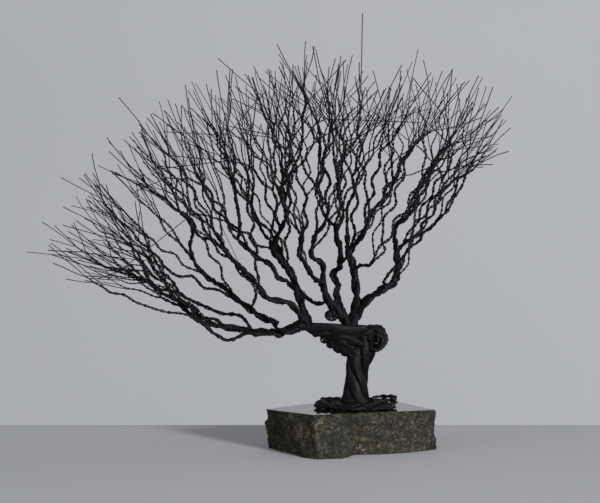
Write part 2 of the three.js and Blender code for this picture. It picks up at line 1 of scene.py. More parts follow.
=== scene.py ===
# %% [markdown]
# Wire tree sculpture. A windswept tree stands on a small block of split granite. It is made of
# some five hundred fine black iron wires that are twisted together. All of them rise through the
# roots and the trunk, and they part again and again until each one ends alone as a bare twig.
# The script loads the measured model as a fixed frame and builds the looks round it: the rough
# stone, every single wire, and plain studio surroundings. Blender works in metres; the tree's own
# numbers are in millimetres, as a maker would note them, and are scaled as the wires are laid.

# %% Load the frame
import json
import math

import bmesh
import bpy
from mathutils import Matrix, Vector, noise

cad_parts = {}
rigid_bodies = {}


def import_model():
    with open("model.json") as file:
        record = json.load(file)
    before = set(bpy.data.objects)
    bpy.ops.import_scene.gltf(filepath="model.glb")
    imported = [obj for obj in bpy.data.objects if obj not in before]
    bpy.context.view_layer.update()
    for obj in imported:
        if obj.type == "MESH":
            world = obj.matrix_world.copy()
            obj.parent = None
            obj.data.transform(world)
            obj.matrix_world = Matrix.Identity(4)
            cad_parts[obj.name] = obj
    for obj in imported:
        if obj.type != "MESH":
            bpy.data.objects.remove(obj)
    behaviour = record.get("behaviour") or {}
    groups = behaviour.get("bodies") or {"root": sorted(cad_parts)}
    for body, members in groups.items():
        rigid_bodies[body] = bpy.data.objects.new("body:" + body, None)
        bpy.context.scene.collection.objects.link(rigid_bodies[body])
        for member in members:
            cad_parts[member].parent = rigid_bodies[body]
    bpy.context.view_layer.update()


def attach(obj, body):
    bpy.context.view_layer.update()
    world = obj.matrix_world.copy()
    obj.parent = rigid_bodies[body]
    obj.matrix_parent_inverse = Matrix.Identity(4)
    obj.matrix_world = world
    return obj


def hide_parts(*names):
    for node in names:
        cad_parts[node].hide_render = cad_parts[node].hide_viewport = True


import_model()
MM = 0.001

# %% [markdown]
# The camera comes first, so that every later step can be judged in its view. It looks at the tree
# from a little above the table with a long lens, which keeps the crown's flat fan undistorted.

# %% Camera
CAMERA_TARGET = Vector((-0.0399, 0.0, 0.1395))
CAMERA_DISTANCE = 1.35
CAMERA_ELEVATION = math.radians(4.9)
VIEW_WIDTH = 0.42

camera_data = bpy.data.cameras.new("camera")
camera_data.lens = camera_data.sensor_width * CAMERA_DISTANCE / VIEW_WIDTH
camera = bpy.data.objects.new("camera", camera_data)
bpy.context.scene.collection.objects.link(camera)
sight = Vector((0, -math.cos(CAMERA_ELEVATION), math.sin(CAMERA_ELEVATION)))
camera.location = CAMERA_TARGET + CAMERA_DISTANCE * sight
camera.rotation_euler = (-sight).to_track_quat("-Z", "Y").to_euler()
bpy.context.scene.camera = camera
bpy.context.scene.view_settings.view_transform = "Standard"
print("lens:", round(camera_data.lens, 1), "mm")

# %% [markdown]
# Shader maths reads best as plain expressions. A small class wraps a node's output and overloads
# the operators, so that adding or multiplying two values adds the Math node for it. A second class
# holds one material and makes every other kind of node from its type, settings and inputs.

# %% Shader helpers
class Value:
    """A node output that can be used in arithmetic."""

    def __init__(self, paint, socket):
        self.paint, self.socket = paint, socket

    def math(self, operation, first, second):
        return self.paint.node("ShaderNodeMath", {"operation": operation}, {0: first, 1: second})

    def __add__(self, other):
        return self.math("ADD", self, other)

    def __radd__(self, other):
        return self.math("ADD", other, self)

    def __rsub__(self, other):
        return self.math("SUBTRACT", other, self)

    def __mul__(self, other):
        return self.math("MULTIPLY", self, other)

    def __rmul__(self, other):
        return self.math("MULTIPLY", other, self)


class Paint:
    """One material, its Principled shader and a maker of nodes."""

    def __init__(self, name, **constants):
        self.material = bpy.data.materials.new(name)
        self.material.use_nodes = True
        self.tree = self.material.node_tree
        self.shader = self.tree.nodes["Principled BSDF"]
        for socket, value in constants.items():
            self.shader.inputs[socket.replace("_", " ")].default_value = value

    def link(self, value, socket):
        if isinstance(value, Value):
            self.tree.links.new(value.socket, socket)
        else:
            socket.default_value = value

    def node(self, kind, settings=None, inputs=None, output=0):
        made = self.tree.nodes.new(kind)
        for name, value in (settings or {}).items():
            if name == "stops":
                self.set_stops(made.color_ramp, value)
            else:
                setattr(made, name, value)
        for name, value in (inputs or {}).items():
            self.link(value, made.inputs[name])
        return Value(self, made.outputs[output])

    def set_stops(self, ramp, stops):
        while len(ramp.elements) > len(stops):
            ramp.elements.remove(ramp.elements[-1])
        while len(ramp.elements) < len(stops):
            ramp.elements.new(1.0)
        for element, (place, colour) in zip(ramp.elements, stops):
            element.position = place
            element.color = (*colour, 1.0)

    def place(self):
        return self.node("ShaderNodeTexCoord", output="Object")

    def noise(self, scale, detail=2.0, roughness=0.5):
        return self.node("ShaderNodeTexNoise", inputs={"Vector": self.place(), "Scale": scale,
                         "Detail": detail, "Roughness": roughness})

    def ramp(self, value, stops):
        return self.node("ShaderNodeValToRGB", {"stops": stops}, {"Fac": value})

    def blend(self, share, first, second, way="MIX"):
        settings = {"data_type": "RGBA", "blend_type": way}
        return self.node("ShaderNodeMix", settings, {0: share, 6: first, 7: second}, output=2)

    def feed(self, socket, value):
        self.link(value, self.shader.inputs[socket])

    def bump(self, height, distance, strength):
        inputs = {"Height": height, "Distance": distance, "Strength": strength}
        return self.node("ShaderNodeBump", inputs=inputs)


# %% [markdown]
# The stone is a slab off-cut: its top is sawn and polished flat, its sides are split rough, and
# it lies on a sawn underside. Its outline is a few corners joined by rough splits, and the low
# front left corner bulges out. The block starts as one face made from its top outline. That face
# is extruded down ring by ring, the walls are subdivided, and each wall point is pushed in or out
# by noise, so the walls get real split facets while the top and the underside stay flat.

# %% Block: the extruded body
BLOCK_HEIGHT = 30.0
BLOCK_MIDDLE = Vector((-6, -8, 0))
BLOCK_TOP = [(-64, -12), (-42, -28), (-31, -36), (-12, -31), (-2, -29), (30, -21), (54, -15),
             (30, 19), (-34, 11)]
BLOCK_FOOT = [(-62, 3), (-40, -33), (-27, -42), (-10, -37), (-3, -27), (30, -20), (56, -4),
              (32, 20), (-35, 12)]


def smooth(t):
    t = min(1.0, max(0.0, t))
    return t * t * (3 - 2 * t)


def hump(t):
    return math.exp(-t * t)


def outline_points(corners, pitch):
    """Points round an outline. Both outlines get as many, so each top point has its foot point."""
    points = []
    for i, corner in enumerate(BLOCK_TOP):
        parts = round((Vector(BLOCK_TOP[(i + 1) % len(BLOCK_TOP)]) - Vector(corner)).length / pitch)
        start, end = Vector((*corners[i], 0)), Vector((*corners[(i + 1) % len(corners)], 0))
        points += [start.lerp(end, k / parts) for k in range(parts)]
    return points


def split_relief(place):
    """How far a split wall stands out at a place, all in millimetres."""
    slabs = noise.cell(Vector((place.x / 15, place.y / 15, place.z / 21 + 7))) - 0.5
    broad = noise.fractal(place / 17, 1.0, 2.1, 3)
    chips = noise.ridged_multi_fractal(place / 7.5, 0.9, 2.1, 3, 1.0, 2.0) - 1.2
    fine = noise.fractal(place / 2.2, 0.8, 2.2, 3)
    return 0.8 * slabs + 1.9 * broad + 0.8 * chips + 0.42 * fine


tops, feet = outline_points(BLOCK_TOP, 1.1), outline_points(BLOCK_FOOT, 1.1)
foot_below = {(round(top.x, 2), round(top.y, 2)): foot for top, foot in zip(tops, feet)}
body = bmesh.new()
rim = [body.verts.new(point + Vector((0, 0, BLOCK_HEIGHT))) for point in tops]
top_face = body.faces.new(rim)
depths = [0.35, 0.5, 0.8] + [1.1] * 25
depths.append(BLOCK_HEIGHT - sum(depths))
wall_edges = list(top_face.edges)
for depth in depths:
    made = bmesh.ops.extrude_edge_only(body, edges=wall_edges)["geom"]
    ring = {v for v in made if isinstance(v, bmesh.types.BMVert)}
    bmesh.ops.translate(body, verts=list(ring), vec=(0, 0, -depth))
    wall_edges = [e for e in made if isinstance(e, bmesh.types.BMEdge) and set(e.verts) <= ring]
bmesh.ops.contextual_create(body, geom=wall_edges)
for vert in body.verts:
    foot = foot_below[(round(vert.co.x, 2), round(vert.co.y, 2))]
    depth = BLOCK_HEIGHT - vert.co.z
    flat = Vector((vert.co.x, vert.co.y, 0)).lerp(foot, depth / BLOCK_HEIGHT)
    place = flat + Vector((0, 0, vert.co.z))
    vert.co = place + (flat - BLOCK_MIDDLE).normalized() * split_relief(place) * smooth(depth / 1.6)
bmesh.ops.recalc_face_normals(body, faces=body.faces)
bmesh.ops.triangulate(body, faces=[face for face in body.faces if len(face.verts) > 4])
print("block:", len(body.verts), "points,", len(body.faces), "faces")

# %% [markdown]
# A piece's mesh is made in millimetres round the object's own origin, so the finished object can
# sit at the origin unturned. A helper scales the mesh to metres, shades it, adds it to the scene
# with its material and its body, and hides the frame nodes that it stands for.

# %% Finish a piece
def finish_piece(name, mesh, paint, nodes, smooth_angle=None):
    mesh.transform(Matrix.Scale(MM, 4))
    mesh.materials.clear()
    mesh.materials.append(paint.material)
    mesh.shade_smooth()
    if smooth_angle is not None:
        mesh.set_sharp_from_angle(angle=math.radians(smooth_angle))
    piece = bpy.data.objects.new(name, mesh)
    bpy.context.scene.collection.objects.link(piece)
    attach(piece, "root")
    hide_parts(*nodes)
    triangles = sum(len(face.vertices) - 2 for face in mesh.polygons)
    print(name, "has", triangles, "triangles")
    return piece


# %% [markdown]
# Split granite shows a mosaic of grains: dark mica and hornblende, grey-green and beige feldspar,
# and glints of quartz. The polished top is the same stone with a mirror-like surface, which looks
# paler because it reflects the room. One material does both. Grains come from two Voronoi layers
# whose random cell colours pick a mineral from a ramp, and broad noise makes the patches. How far
# the surface faces up decides between the rough and the polished finish. The polish has a clear
# coat, and the grains' own relief only bumps the split faces.

# %% Granite
granite = Paint("split_granite", Specular_IOR_Level=0.3, Coat_Roughness=0.05)
spot = granite.place()
grain = granite.node("ShaderNodeTexVoronoi", {"feature": "F1"}, {"Vector": spot, "Scale": 520.0}, output=1)
speck = granite.node("ShaderNodeTexVoronoi", {"feature": "F1"}, {"Vector": spot, "Scale": 1150.0}, output=1)
mineral = granite.node("ShaderNodeSeparateColor", inputs={"Color": grain})
glint = granite.node("ShaderNodeSeparateColor", inputs={"Color": speck})
MINERALS = [(0.0, (0.002, 0.002, 0.002)), (0.30, (0.004, 0.004, 0.003)), (0.50, (0.009, 0.009, 0.006)),
            (0.72, (0.019, 0.017, 0.010)), (0.90, (0.030, 0.026, 0.016)), (1.0, (0.075, 0.068, 0.050))]
SPECKS = [(0.0, (0.002, 0.002, 0.002)), (0.45, (0.007, 0.007, 0.005)), (0.85, (0.017, 0.015, 0.010)),
          (1.0, (0.09, 0.085, 0.070))]
minerals = granite.ramp(mineral, MINERALS)
specks = granite.ramp(glint, SPECKS)
stone = granite.blend(0.45, minerals, specks)
patches = granite.noise(95.0, 3.0, 0.55)
clouds = granite.ramp(patches, [(0.32, (0.3, 0.33, 0.3)), (0.5, (1.0, 1.0, 0.95)),
                                (0.68, (2.0, 1.7, 1.25))])
stone = granite.blend(1.0, stone, clouds, "MULTIPLY")
facing = granite.node("ShaderNodeNewGeometry", output=1)
upward = granite.node("ShaderNodeSeparateXYZ", inputs={"Vector": facing}, output=2)
polish = granite.node("ShaderNodeMapRange", {"interpolation_type": "SMOOTHSTEP"},
                      {"Value": upward, "From Min": 0.93, "From Max": 0.995})
granite.feed("Base Color", stone)
granite.feed("Roughness", 0.88 - 0.79 * polish)
granite.feed("Coat Weight", polish)
relief = patches * 0.6 + granite.noise(420.0, 4.0, 0.65)
granite.feed("Normal", granite.bump(relief * (1 - polish), 0.0011, 0.75))

block_mesh = bpy.data.meshes.new("granite_block")
body.to_mesh(block_mesh)
body.free()
finish_piece("stone_block", block_mesh, granite, ["granite_block"], smooth_angle=32)

# %% [markdown]
# The crown is grown as the wires are dealt out in the workshop. First every wire gets its tip on a
# fan-shaped outline. Then each wire joins the listed limb that it can leave with the gentlest
# turn, and wires that leave together make a bundle. A bundle parts into two, and so on to single
# wires. These cells repeat the measured model's own growth with the same dice, so the fine wires
# run exactly through its solids.

# %% Dice, paths and widths
WIRE = 0.55
WIRE_COUNT = 520
SEED, LAY_SEED = 20117, 7919
BACK = Vector((0, 1, 0))


class Dice:
    """A repeatable stream of chances from a fixed seed."""

    def __init__(self, seed):
        self.state = seed

    def roll(self):
        self.state = self.state * 16807 % 2147483647
        return self.state / 2147483647

    def swing(self, size):
        return (2 * self.roll() - 1) * size


dice = Dice(SEED)


def bundle_width(wires):
    return min(WIRE * max(wires, 1), 1.35 * max(wires, 1) ** 0.36)


def mean(points):
    return sum(points, Vector()) / len(points)


def heading(path, i):
    return (path[min(i + 1, len(path) - 1)] - path[max(i - 1, 0)]).normalized()


def nearest_sample(path, point):
    return min(range(len(path)), key=lambda i: (path[i] - point).length)


def sample_path(stations, step):
    """A smooth path through the stations, and which sample each station became."""
    path, marks = [], []
    for i, (start, end) in enumerate(zip(stations, stations[1:])):
        before, after = stations[max(i - 1, 0)], stations[min(i + 2, len(stations) - 1)]
        parts = max(1, int((end - start).length / step + 0.5))
        marks.append(len(path))
        for k in range(parts):
            t = k / parts
            path.append(0.5 * (before * (-t + 2 * t ** 2 - t ** 3) + start * (2 - 5 * t ** 2 + 3 * t ** 3)
                               + end * (t + 4 * t ** 2 - 3 * t ** 3) + after * (t ** 3 - t ** 2)))
    marks.append(len(path))
    path.append(stations[-1].copy())
    return path, marks


print("a bundle of 100 wires is", round(bundle_width(100), 1), "mm thick")

# %% [markdown]
# The limbs. Each names the limb that it leaves, the first station that carries twigs,
# and the stations that it runs through. A few long wires stand out of the crown on their own.

# %% Limbs
LIMBS = {
    "low_limb": ("", 9, [(-31, -2, 86), (-39, -3, 88), (-50, -4, 84), (-61, -4, 83), (-72, -4, 83),
        (-77, -4, 83)]),
    "low_front": ("low_limb", 3, [(-77, -4, 83), (-90, -8, 78), (-101, -10, 84), (-110, -12, 92),
        (-120, -14, 97), (-134, -16, 99), (-149, -17, 104)]),
    "low_back": ("low_limb", 3, [(-72, -4, 83), (-82, 2, 94), (-95, 7, 95), (-108, 9, 100),
        (-124, 10, 105), (-141, 12, 107), (-156, 14, 109)]),
    "low_mid": ("low_limb", 3, [(-75, -4, 83), (-83, -3, 86), (-92, -4, 87), (-103, -5, 89),
        (-111, -6, 92), (-119, -5, 98), (-127, -5, 107), (-138, -5, 111), (-145, -6, 118),
        (-149, -8, 127)]),
    "left_sweep": ("low_mid", 1, [(-149, -8, 127), (-157, -12, 127), (-166, -16, 129), (-175, -18, 127)]),
    "left_rise": ("low_mid", 1, [(-136, -5, 110), (-142, 2, 115), (-157, 8, 120), (-163, 10, 127),
        (-169, 12, 134)]),
    "left_upright": ("low_mid", 2, [(-127, -5, 107), (-133, 0, 117), (-140, 4, 130), (-147, 6, 142),
        (-157, 8, 152), (-159, 8, 162), (-158, 8, 180)]),
    "thin_limb": ("low_limb", 4, [(-55, -4, 84), (-58, 2, 90), (-66, 7, 92), (-77, 11, 99),
        (-84, 13, 104), (-93, 16, 112), (-102, 18, 117), (-112, 20, 126), (-117, 20, 133)]),
    "thin_fork": ("thin_limb", 3, [(-76, 11, 98), (-71, 14, 107), (-74, 18, 116), (-80, 21, 122),
        (-82, 24, 126)]),
    "heart_limb": ("", 5, [(-35, -3, 88), (-42, -6, 98), (-47, -9, 104), (-55, -11, 106), (-64, -12, 109),
        (-69, -13, 117), (-74, -14, 123), (-81, -16, 130), (-89, -18, 138), (-92, -18, 144)]),
    "left_limb": ("", 4, [(-34, -2, 87), (-38, 2, 101), (-41, 5, 109), (-45, 6, 121), (-52, 6, 131),
        (-59, 5, 140), (-59, 5, 146), (-56, 5, 150)]),
    "link_limb": ("left_limb", 5, [(-43, 5, 112), (-50, -1, 119), (-55, -3, 121), (-60, -2, 130),
        (-69, 0, 135), (-75, 2, 140), (-81, 3, 145), (-85, 3, 149)]),
    "centre_limb": ("", 5, [(-14, -2, 98), (-20, -6, 105), (-24, -8, 117), (-24, -10, 131),
        (-31, -12, 136), (-32, -13, 141), (-29, -14, 154)]),
    "centre_fork": ("centre_limb", 2, [(-24, -8, 117), (-31, -14, 123), (-36, -18, 132), (-41, -20, 141),
        (-38, -22, 152), (-47, -24, 163), (-53, -24, 178)]),
    "cross_limb": ("centre_limb", 2, [(-20, -6, 104), (-29, 2, 103), (-37, 10, 108), (-44, 15, 116),
        (-48, 20, 127), (-54, 23, 137)]),
    "back_limb": ("", 4, [(-9, -1, 94), (-14, 7, 108), (-13, 10, 115), (-17, 13, 122), (-12, 15, 127),
        (-11, 17, 137), (-14, 18, 148), (-14, 19, 155)]),
    "main_limb": ("", 4, [(-2, 0, 94), (0, 0, 104), (-1, 0, 115), (-3, 0, 131), (-6, 1, 138),
        (-7, 1, 155)]),
    "right_bend": ("main_limb", 2, [(-2, 0, 125), (2, -3, 130), (9, -7, 131), (13, -9, 139),
        (18, -11, 147), (14, -13, 155)]),
    "right_hook": ("right_bend", 2, [(10, -7, 132), (16, 3, 136), (20, 8, 140), (18, 12, 147),
        (27, 15, 150)]),
    "leader": ("main_limb", 2, [(-6, 1, 140), (0, -5, 147), (5, -9, 155), (8, -11, 169), (4, -12, 190),
        (2, -12, 203), (-1, -12, 216), (0, -12, 230)]),
    "right_limb": ("", 5, [(-1, 0, 93), (3, -3, 100), (7, -5, 106), (14, -6, 111), (20, -6, 115),
        (25, -2, 116), (28, 2, 124), (29, 4, 132), (28, 5, 139), (35, 7, 146), (43, 8, 150)]),
    "right_front": ("right_limb", 1, [(19, -6, 115), (18, -12, 119), (22, -16, 126), (27, -19, 132),
        (34, -22, 142), (37, -24, 155)]),
    "right_outer": ("right_limb", 2, [(43, 8, 150), (52, 6, 156), (58, 4, 163), (64, 2, 169),
        (68, 1, 181), (69, 0, 194), (69, 0, 207), (67, 0, 220)]),
    "right_mid": ("right_limb", 2, [(28, 4, 140), (26, -1, 150), (27, -5, 158), (36, -8, 166),
        (37, -9, 176), (38, -10, 198), (38, -10, 210)]),
    "right_twist": ("right_mid", 1, [(36, -8, 164), (41, 0, 171), (46, 5, 185), (55, 9, 191),
        (59, 11, 203)]),
    "right_inner": ("leader", 2, [(8, -11, 167), (14, -4, 172), (20, 3, 178), (25, 8, 185), (24, 12, 202),
        (31, 13, 218), (34, 14, 232)]),
    "back_rise": ("back_limb", 1, [(-14, 19, 152), (-9, 26, 164), (-12, 30, 178), (-7, 33, 192),
        (-9, 34, 208)]),
    "centre_rise": ("centre_limb", 1, [(-29, -14, 152), (-22, -16, 163), (-25, -20, 178), (-26, -22, 193),
        (-24, -23, 209), (-22, -24, 226)]),
    "centre_left": ("back_limb", 1, [(-14, 19, 154), (-22, 18, 163), (-29, 17, 177), (-39, 15, 186),
        (-49, 13, 192), (-57, 12, 201)]),
    "upper_left": ("left_limb", 1, [(-57, 5, 149), (-52, 0, 158), (-49, -4, 168), (-53, -6, 182),
        (-47, -8, 194), (-40, -8, 208), (-38, -8, 222)]),
    "link_rise": ("link_limb", 1, [(-83, 3, 147), (-82, 5, 158), (-85, 8, 176), (-88, 9, 192),
        (-93, 10, 208)]),
    "heart_rise": ("heart_limb", 1, [(-91, -18, 142), (-99, -20, 148), (-105, -20, 155), (-112, -20, 166),
        (-119, -20, 183), (-128, -20, 192)]),
    "inner_rise": ("left_limb", 1, [(-58, 5, 145), (-66, 12, 152), (-71, 17, 166), (-77, 20, 182),
        (-81, 22, 197)]),
    "thin_rise": ("thin_limb", 1, [(-115, 20, 130), (-118, 18, 142), (-116, 16, 154), (-125, 15, 167),
        (-137, 14, 174), (-146, 13, 183)]),
    "fork_rise": ("thin_fork", 1, [(-81, 23, 125), (-92, 28, 136), (-99, 31, 150), (-101, 33, 166),
        (-108, 34, 180)]),
}
LONG_WIRES = [(3, -10, 305), (-228, -22, 141), (-219, -10, 161), (-208, 10, 191), (-167, 10, 247),
              (-202, -18, 122), (-191, 8, 136), (43, 14, 281), (108, 4, 248), (-36, -8, 286),
              (-97, 8, 274), (104, -14, 210), (-31, 16, 283), (-56, 10, 284), (88, 10, 261)]


class Limb:
    """A limb's path and the wires, bundles and limbs that leave it."""

    def __init__(self, name, parent, carries, stations):
        points = [Vector(station) for station in stations]
        self.name, self.parent = name, parent
        self.path = sample_path(points, 3)[0]
        self.first = nearest_sample(self.path, points[min(carries, len(points) - 1)])
        self.takes, self.children, self.groups = [], [], []


limbs = [Limb(name, *row) for name, row in LIMBS.items()]
print(len(limbs), "limbs")

# %% [markdown]
# Tips are scattered over a fan that reaches furthest low on the left, as if blown by the wind.
# Every tip is then dealt to the limb sample that reaches it with a short, gently turning wire.

# %% Tips, and the limb that each wire leaves
FAN_CENTRE = Vector((-8, 0, 85))
FAN_FROM, FAN_SPAN = 49, 120.5          # bearings in degrees above +X
CROWN_DEPTH, CROWN_REACH = 46, 201
TIP_SCATTER = 0.20
LEAVING_CARE, RISING_CARE, CROWDING = 4, 7, 0.03
RISING_FROM = Vector((-8, 0, 60))


def crown_reach(bearing):
    return (CROWN_REACH + 21 * smooth((bearing - 108) / 46) - 18 * hump((bearing - 82) / 6)
            - 28 * hump((bearing - 47) / 5) - 24 * hump((bearing - 172) / 5))


def crown_tips():
    tips, count = [], WIRE_COUNT - len(LONG_WIRES)
    for i in range(count):
        share = (i + dice.roll()) / count
        bearing = FAN_FROM + FAN_SPAN * (share + 0.02 * math.sin(2 * math.pi * share))
        depth = dice.swing(1)
        far = crown_reach(bearing) * (1 - TIP_SCATTER * dice.roll()) * (1 - 0.07 * depth * depth)
        width = CROWN_DEPTH * (0.55 + 0.45 * math.sin(math.pi * share))
        angle = math.radians(bearing)
        tips.append(FAN_CENTRE + Vector((far * math.cos(angle), depth * width, far * math.sin(angle))))
    return tips + [Vector(tip) for tip in LONG_WIRES]


def deal_wires(tips):
    seats = [(limb, i, limb.path[i], heading(limb.path, i))
             for limb in limbs for i in range(limb.first, len(limb.path))]
    for k, tip in enumerate(tips):
        roll = dice.roll()
        room = 44 + 80 * roll if k < len(tips) - len(LONG_WIRES) else 40
        rise = (tip - RISING_FROM).normalized()
        best = None
        for limb, i, seat, ahead in seats:
            line = tip - seat
            length = line.length
            if length >= room:
                turn = LEAVING_CARE * (length - line.dot(ahead)) + RISING_CARE * (length - line.dot(rise))
                cost = (length + turn) * (1 + CROWDING * len(limb.takes))
                if best is None or cost < best[0]:
                    best = (cost, limb, i)
        best[1].takes.append((tip, best[2]))


deal_wires(crown_tips())
print("wires dealt:", {limb.name: len(limb.takes) for limb in limbs})

# %% [markdown]
# Wires that leave a limb on one side within a short stretch go together as one spray. A pair or a
# single wire goes along with the nearest spray, because one thin wire can't hold itself up there.

# %% Sprays of wires on each limb
def side_of(limb, i, tip):
    """0 right, 1 left, 2 back, 3 front."""
    line = tip - limb.path[i]
    across = line.dot(heading(limb.path, i).cross(BACK).normalized())
    if abs(line.y) > 1.2 * abs(across):
        return 2 if line.y > 0 else 3
    return 0 if across > 0 else 1


def group_wires(limb, apart=6, most=9, least=3):
    last = len(limb.path) - 1
    marks = [(at, side_of(limb, at, tip), tip) for tip, at in limb.takes]
    groups, latest = [], {}
    for at, side, tip in sorted(marks, key=lambda mark: mark[:2]):
        at_end = at >= last - 1
        side, at = (4, last) if at_end else (side, at)
        group = latest.get(side)
        if not group or at - group[0] > apart or (not at_end and len(group[1]) >= most):
            group = latest[side] = (at, [])
            groups.append(group)
        group[1].append(tip)
    sprays = [group for group in groups if len(group[1]) >= least]
    for at, tips in [group for group in groups if len(group[1]) < least]:
        if sprays:
            min(sprays, key=lambda spray: abs(spray[0] - at))[1].extend(tips)
        else:
            sprays.append((at, tips))
    limb.groups = sprays
    top = max([0] + [at for at, _ in sprays] + [at for at, _ in limb.children])
    limb.path = limb.path[:top + 1]


by_name = {limb.name: limb for limb in limbs}
for limb in limbs:
    if limb.parent:
        parent = by_name[limb.parent]
        parent.children.append((nearest_sample(parent.path, limb.path[0]), limb))
for limb in limbs:
    group_wires(limb)
print("sprays:", sum(len(limb.groups) for limb in limbs))

# %% [markdown]
# A spray runs towards the middle of its tips along a knobby way, then parts into two smaller
# bundles across the direction in which the tips lie widest apart, and so on to single wires.

# %% Grow the sprays
KINK_PITCH, KINK_LEAN = 11, 0.17


class Bundle:
    """Wires that run together along a path, and the bundles that leave it."""

    def __init__(self, points, parts, step):
        self.path, self.marks = sample_path(points, step)
        self.parts = []
        for mark, part in parts:
            part.leaves = self.marks[mark]
            self.parts.append(part)
        self.wires = sum(part.wires for part in self.parts) or 1
        self.line = []


def fine_step(wires):
    """Sample spacing that still follows the tightest twist in a bundle of so many wires."""
    return max(0.95, 0.35 * bundle_width(wires))


def widest_axis(start, tips):
    ahead = (mean(tips) - start).normalized()
    flat = ahead.cross(BACK).normalized()
    over = ahead.cross(flat)
    best = None
    for k in range(6):
        axis = flat * math.cos(math.pi * k / 6) + over * math.sin(math.pi * k / 6)
        values = [(tip - start).normalized().dot(axis) for tip in tips]
        if best is None or max(values) - min(values) > best[0]:
            best = (max(values) - min(values), axis)
    return best[1]


def kinked_way(start, ahead, goal):
    points, place = [start], start
    length = (goal - place).length
    if length > 9:
        out = (ahead + 0.9 * (goal - start).normalized()).normalized()
        place = start + out * min(6, length * 0.35)
        points.append(place)
        length = (goal - place).length
    count = int(length / KINK_PITCH)
    flat = (goal - place).normalized().cross(BACK).normalized()
    lean = KINK_LEAN * length / (count + 1)
    sign = 1 if dice.roll() > 0.5 else -1
    for k in range(1, count + 1):
        point = place.lerp(goal, k / (count + 1)) + flat * (sign * lean * (0.5 + dice.roll()))
        points.append(point + BACK * dice.swing(lean))
        sign = -sign
    return points + [goal]


def grow_wire(start, ahead, tip):
    length = (tip - start).length
    out = ((tip - start).normalized() + 0.5 * ahead).normalized()
    near = start + out * min(7, length * 0.25)
    middle = near.lerp(tip, 0.5) + Vector((dice.swing(0.8), dice.swing(0.8), dice.swing(0.5)))
    return Bundle([start, near, middle, tip], [], 3.2)


def grow_bundle(start, ahead, tips):
    if len(tips) == 1:
        return grow_wire(start, ahead, tips[0])
    line = mean(tips) - start
    nearest = min((tip - start).length for tip in tips)
    left_over = 25 * (len(tips) / 2) ** 0.62 * (0.8 + 0.4 * dice.roll())
    least = 3.5 + 3 * dice.roll()
    length = max(min(line.length - left_over, nearest - 20), least)
    goal = start + (line.normalized() + 0.35 * ahead).normalized() * length
    goal += Vector((dice.swing(0.1 * length), dice.swing(0.1 * length), dice.swing(0.06 * length)))
    points = kinked_way(start, ahead, goal)
    axis = widest_axis(goal, tips)
    order = sorted(tips, key=lambda tip: (tip - goal).normalized().dot(axis))
    wanted = int(len(tips) * (0.33 + 0.34 * dice.roll()) + 0.5)
    cut = max(1, min(len(tips) - 1, wanted))
    arrival = (goal - points[-2]).normalized()
    parts = []
    for half, sign in ((order[:cut], -1), (order[cut:], 1)):
        turn = sign * (0.3 + 0.25 * dice.roll())
        leave = (mean(half) - goal).normalized() + 0.4 * arrival + turn * axis
        parts.append((len(points) - 1, grow_bundle(goal, leave.normalized(), half)))
    return Bundle(points, parts, fine_step(len(tips)))


for limb in limbs:
    limb.sprays = []
    for at, tips in limb.groups:
        ahead, start = heading(limb.path, at), limb.path[at]
        if at < len(limb.path) - 1:
            out = (mean(tips) - start).normalized()
            aside = (out - ahead * out.dot(ahead)).normalized()
            ahead = (ahead + 0.85 * aside).normalized()
        limb.sprays.append((at, grow_bundle(start, ahead, tips)))
print("sprays grown:", sum(len(limb.sprays) for limb in limbs))

# %% [markdown]
# A limb is now one bundle along its own path, from which its sprays and its child limbs leave.
# Twisted wire looks the way it does because it is twisted in steps: pairs are twisted into
# strands, strands into ropes. So the parts of each bundle are paired off, lightest first, until
# only two plies are left, and each pair becomes one twist with its own phase.

# %% Plies and twists
lay_dice = Dice(LAY_SEED)


class Twist:
    """Two plies laid round each other. A ply is another twist or a bundle."""

    def __init__(self, one, other):
        self.plies = (one, other)
        self.wires = one.wires + other.wires
        self.phase = 2 * math.pi * lay_dice.roll()


def pair_off(parts):
    plies = sorted(parts, key=lambda part: part.wires)
    while len(plies) > 1:
        plies.append(Twist(plies.pop(0), plies.pop(0)))
        plies.sort(key=lambda ply: ply.wires)
    return plies[0] if plies else None


def twist_up(bundle):
    bundle.twist = pair_off(bundle.parts)
    for part in bundle.parts:
        twist_up(part)


def limb_bundle(limb):
    parts = limb.sprays + [(at, limb_bundle(child)) for at, child in limb.children]
    return Bundle(limb.path, parts, 1.0)


tops = {limb.name: limb_bundle(limb) for limb in limbs if not limb.parent}
for top in tops.values():
    twist_up(top)
print("wires at the foot of each limb:", {name: top.wires for name, top in tops.items()})

# %% [markdown]
# Laying walks up every bundle sample by sample. At each sample a twist's phase moves on by the
# step over the pitch, and its two plies sit on either side of the twist's middle, as far out as
# their thicknesses allow. That places every single wire in the plane across the path. Where a
# bundle leaves, it keeps the offset that it had and lets it fade over the next few millimetres.

# %% Lay every wire
TURNS_PER_WIDTH = 5.2       # a twist makes one turn in this many times its own thickness
LEAVE_FADE = 5.0


def still_laid(ply, k, bundle):
    """Wires of a ply that run on at sample k of a bundle, easing off after each one leaves."""
    if k < 0:
        return ply.wires
    if isinstance(ply, Twist):
        return sum(still_laid(half, k, bundle) for half in ply.plies)
    gone = (bundle.reach[k] - bundle.reach[ply.leaves]) / LEAVE_FADE
    return ply.wires * (1 - smooth(gone))


